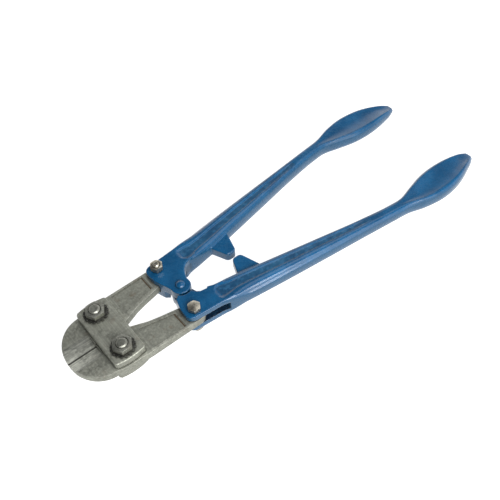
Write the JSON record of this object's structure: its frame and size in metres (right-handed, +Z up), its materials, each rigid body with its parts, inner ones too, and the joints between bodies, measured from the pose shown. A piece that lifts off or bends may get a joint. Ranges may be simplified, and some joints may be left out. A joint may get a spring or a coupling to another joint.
{
  "type": "bolt cutters",
  "caption": "Compact compound-lever bolt cutters: rounded forged blades under bolted strap plates, pivoted blue forged handles with stop lugs and flattened spoon-shaped grips.",
  "frame": {"origin": "centre of the bounding box's underside, on the tool's long axis", "axes": "+X along the tool from the blades to the grips, +Y towards the left handle, +Z up with the tool lying flat"},
  "size_m": [0.46, 0.1574, 0.0385],
  "materials": {
    "jaw_steel": "satin ground steel",
    "plate_steel": "satin steel plate",
    "dark_steel": "darkened oiled steel",
    "zinc": "zinc plate",
    "blue_paint": "gloss blue paint on forged steel"
  },
  "bodies": {
    "head": {"top_plate": "plate_steel", "bottom_plate": "plate_steel", "jaw_bolt_left": "dark_steel", "jaw_bolt_right": "dark_steel", "jaw_lock_washer_left": "dark_steel", "jaw_lock_washer_right": "dark_steel", "jaw_nut_left": "dark_steel", "jaw_nut_right": "dark_steel"},
    "left_jaw": {"jaw_left": "jaw_steel"},
    "right_jaw": {"jaw_right": "jaw_steel"},
    "left_handle": {"handle_left": "blue_paint", "arm_bolt_left": "zinc", "arm_spring_washer_left": "zinc", "arm_nut_left": "zinc", "centre_rivet": "blue_paint"},
    "right_handle": {"handle_right": "blue_paint", "arm_bolt_right": "zinc", "arm_spring_washer_right": "zinc", "arm_nut_right": "zinc", "centre_rivet_tail": "blue_paint"}
  },
  "joints": [
    {"name": "jaw_left_pivot", "type": "hinge", "parent": "head", "child": "left_jaw", "pos_m": [-0.1869, 0.0224, 0.0188], "axis": [0, 0, -1], "range_deg": [0, 6.48]},
    {"name": "jaw_right_pivot", "type": "hinge", "parent": "head", "child": "right_jaw", "pos_m": [-0.1869, -0.0224, 0.0188], "axis": [0, 0, 1], "range_deg": [0, 6.48]},
    {"name": "handle_left_pivot", "type": "hinge", "parent": "left_jaw", "child": "left_handle", "pos_m": [-0.118, 0.0293, 0.0188], "axis": [0, 0, 1], "range_deg": [0, 41.4]},
    {"name": "handle_right_pivot", "type": "hinge", "parent": "right_jaw", "child": "right_handle", "pos_m": [-0.118, -0.0293, 0.0188], "axis": [0, 0, -1], "range_deg": [0, 41.4]}
  ],
  "couplings": [
    {"joint": "jaw_left_pivot", "follows": "handle_left_pivot", "ratio": 0.1563},
    {"joint": "jaw_right_pivot", "follows": "handle_left_pivot", "ratio": 0.1563},
    {"joint": "handle_right_pivot", "follows": "handle_left_pivot", "ratio": 1}
  ]
}
